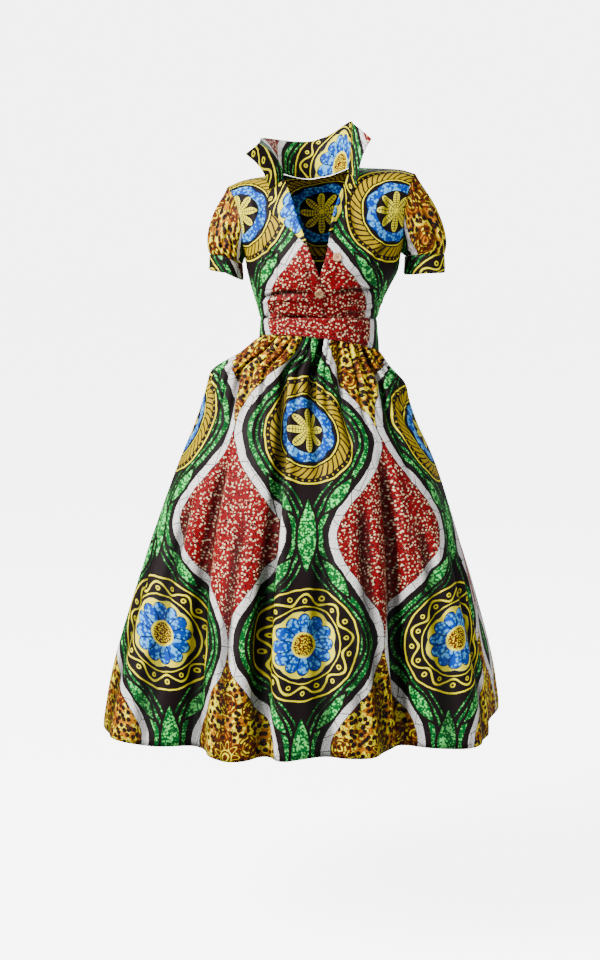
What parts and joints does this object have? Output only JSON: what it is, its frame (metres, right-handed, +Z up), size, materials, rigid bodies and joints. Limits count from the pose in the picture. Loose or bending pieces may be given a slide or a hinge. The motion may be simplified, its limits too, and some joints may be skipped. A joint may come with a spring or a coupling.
{
  "type": "dress",
  "caption": "Short-sleeved button-front midi dress in printed cotton, worn form, with a turned-up collar, a waistband, a wide pleated skirt and side pockets.",
  "frame": {"origin": "between the shoulders at the base of the neck, where the wearer carries the dress", "axes": "+Z up, -Y the front of the dress, +X the wearer's left"},
  "size_m": [0.7871, 0.6256, 1.1707],
  "materials": {
    "print_cloth": "printed cotton with a slight wax sheen",
    "print_trim": "printed cotton with a slight wax sheen",
    "pocket_cloth": "printed cotton",
    "button_wood": "satin light wood"
  },
  "bodies": {
    "root": {"bodice_front_right": "print_cloth", "bodice_front_left": "print_cloth", "bodice_back": "print_cloth", "sleeve_right": "print_cloth", "sleeve_left": "print_cloth", "skirt_front": "print_cloth", "skirt_back": "print_cloth", "lapel_right": "print_trim", "lapel_left": "print_trim", "collar": "print_trim", "cuff_right": "print_trim", "cuff_left": "print_trim", "waistband_front": "print_trim", "waistband_back": "print_trim", "pocket_right": "pocket_cloth", "pocket_left": "pocket_cloth", "button_upper": "button_wood", "button_lower": "button_wood"}
  },
  "joints": []
}
